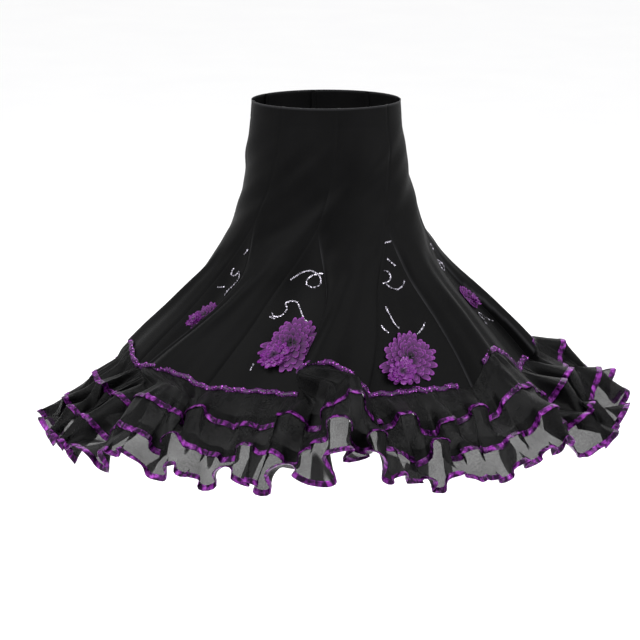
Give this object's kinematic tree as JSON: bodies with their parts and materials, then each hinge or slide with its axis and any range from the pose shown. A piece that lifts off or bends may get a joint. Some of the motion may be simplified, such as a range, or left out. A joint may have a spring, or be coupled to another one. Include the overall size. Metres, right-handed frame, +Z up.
{
  "type": "flamenco skirt",
  "caption": "Flared dance skirt in its worn hollow form: swirling fitted gores, godets with applique flowers, and gathered ruffles edged in satin ribbon.",
  "frame": {"origin": "centre of the waist opening, in the plane of its edge", "axes": "+Z up out of the waist, -Y to the front of the skirt, +X to the right of the picture's view, the skirt's widest way"},
  "size_m": [1.1892, 0.9741, 0.7015],
  "materials": {
    "black_knit": "smooth matte stretch knit with a soft sheen",
    "black_chiffon": "thin, crisp, slightly see-through chiffon",
    "purple_satin": "glossy satin ribbon",
    "purple_braid": "gathered braid with small glossy sequins",
    "purple_lace": "layered matte lace with scalloped petals"
  },
  "bodies": {
    "root": {"gore_front_left": "black_knit", "godet_front_left": "black_knit", "flower_front_left": "purple_lace", "braid_front_left": "purple_braid", "ruffle_upper_front_left": "black_chiffon", "ruffle_middle_front_left": "black_chiffon", "ruffle_lower_front_left": "black_chiffon", "gore_front": "black_knit", "godet_front": "black_knit", "flower_front": "purple_lace", "braid_front": "purple_braid", "ruffle_upper_front": "black_chiffon", "ruffle_middle_front": "black_chiffon", "ruffle_lower_front": "black_chiffon", "gore_front_right": "black_knit", "godet_front_right": "black_knit", "flower_front_right": "purple_lace", "braid_front_right": "purple_braid", "ruffle_upper_front_right": "black_chiffon", "ruffle_middle_front_right": "black_chiffon", "ruffle_lower_front_right": "black_chiffon", "gore_right": "black_knit", "godet_right": "black_knit", "flower_right": "purple_lace", "braid_right": "purple_braid", "ruffle_upper_right": "black_chiffon", "ruffle_middle_right": "black_chiffon", "ruffle_lower_right": "black_chiffon", "gore_back_right": "black_knit", "godet_back_right": "black_knit", "flower_back_right": "purple_lace", "braid_back_right": "purple_braid", "ruffle_upper_back_right": "black_chiffon", "ruffle_middle_back_right": "black_chiffon", "ruffle_lower_back_right": "black_chiffon", "gore_back": "black_knit", "godet_back": "black_knit", "flower_back": "purple_lace", "braid_back": "purple_braid", "ruffle_upper_back": "black_chiffon", "ruffle_middle_back": "black_chiffon", "ruffle_lower_back": "black_chiffon", "gore_back_left": "black_knit", "godet_back_left": "black_knit", "flower_back_left": "purple_lace", "braid_back_left": "purple_braid", "ruffle_upper_back_left": "black_chiffon", "ruffle_middle_back_left": "black_chiffon", "ruffle_lower_back_left": "black_chiffon", "gore_left": "black_knit", "godet_left": "black_knit", "flower_left": "purple_lace", "braid_left": "purple_braid", "ruffle_upper_left": "black_chiffon", "ruffle_middle_left": "black_chiffon", "ruffle_lower_left": "black_chiffon", "ribbon_upper": "purple_satin", "ribbon_middle": "purple_satin", "ribbon_lower": "purple_satin"}
  },
  "joints": []
}
